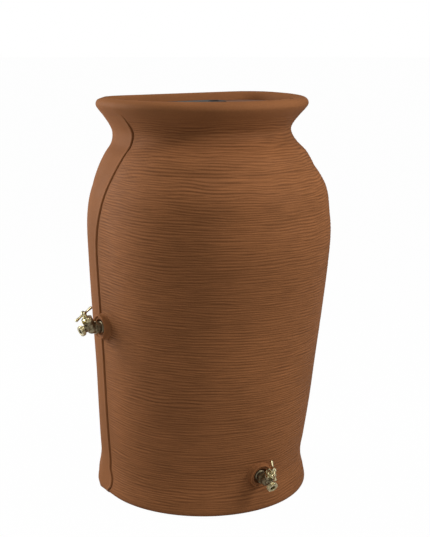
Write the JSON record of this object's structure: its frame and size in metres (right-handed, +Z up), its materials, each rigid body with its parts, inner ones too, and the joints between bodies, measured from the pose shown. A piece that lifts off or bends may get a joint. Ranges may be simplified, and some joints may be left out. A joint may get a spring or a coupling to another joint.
{
  "type": "rain barrel",
  "caption": "Flat-backed urn-shaped rain barrel with a lift-out planter in its rim, a screened inlet, and brass hose taps low on the front and halfway up one side.",
  "frame": {"origin": "on the floor, midway between the sides, in the plane where the round front meets the straight sides", "axes": "+Z up, +Y out of the flat back towards the wall, the round front faces -Y, and the side tap is on -X"},
  "size_m": [0.6271, 0.4391, 0.95],
  "materials": {
    "terracotta_shell": "rotationally moulded, hand-thrown ridges on the front, smooth band at the back",
    "planter_plastic": "moulded, fine grain",
    "screen_plastic": "moulded",
    "mesh_steel": "stainless",
    "cast_brass": "sand-cast, dull",
    "bright_brass": "turned",
    "gasket_rubber": "matte",
    "packing": "graphited"
  },
  "bodies": {
    "tank": {"barrel_shell": "terracotta_shell", "side_tap_body": "cast_brass", "side_wall_gasket": "gasket_rubber", "side_tank_gasket": "gasket_rubber", "side_lock_nut": "bright_brass", "side_bonnet_nut": "bright_brass", "side_stem_packing": "packing", "front_tap_body": "cast_brass", "front_wall_gasket": "gasket_rubber", "front_tank_gasket": "gasket_rubber", "front_lock_nut": "bright_brass", "front_bonnet_nut": "bright_brass", "front_stem_packing": "packing"},
    "planter": {"planter_insert": "planter_plastic"},
    "inlet_screen": {"screen_frame": "screen_plastic", "screen_mesh": "mesh_steel"},
    "side_jumper": {"side_jumper_disc": "bright_brass", "side_seat_washer": "gasket_rubber", "side_washer_screw": "bright_brass"},
    "side_valve": {"side_stem": "bright_brass", "side_tee_handle": "bright_brass", "side_handle_screw": "bright_brass"},
    "front_jumper": {"front_jumper_disc": "bright_brass", "front_seat_washer": "gasket_rubber", "front_washer_screw": "bright_brass"},
    "front_valve": {"front_stem": "bright_brass", "front_tee_handle": "bright_brass", "front_handle_screw": "bright_brass"}
  },
  "joints": [
    {"name": "planter_lift", "type": "slide", "parent": "tank", "child": "planter", "axis": [0, 0, 1], "range_m": [0, 0.2]},
    {"name": "screen_lift", "type": "slide", "parent": "planter", "child": "inlet_screen", "axis": [0, 0, 1], "range_m": [0, 0.06]},
    {"name": "side_valve_rise", "type": "slide", "parent": "tank", "child": "side_jumper", "axis": [-0.4848, 0, 0.8746], "range_m": [0, 0.0046]},
    {"name": "side_valve_turn", "type": "hinge", "parent": "side_jumper", "child": "side_valve", "pos_m": [-0.32139, 0, 0.46265], "axis": [-0.4848, 0, 0.8746], "range_deg": [0, 810]},
    {"name": "front_valve_rise", "type": "slide", "parent": "tank", "child": "front_jumper", "axis": [0.0458, -0.6291, 0.776], "range_m": [0, 0.0046]},
    {"name": "front_valve_turn", "type": "hinge", "parent": "front_jumper", "child": "front_valve", "pos_m": [0.00192, -0.30304, 0.11439], "axis": [0.0458, -0.6291, 0.776], "range_deg": [0, 810]}
  ],
  "couplings": [
    {"joint": "side_valve_rise", "follows": "side_valve_turn", "m_per_rad": 0.00031831},
    {"joint": "front_valve_rise", "follows": "front_valve_turn", "m_per_rad": 0.00031831}
  ]
}
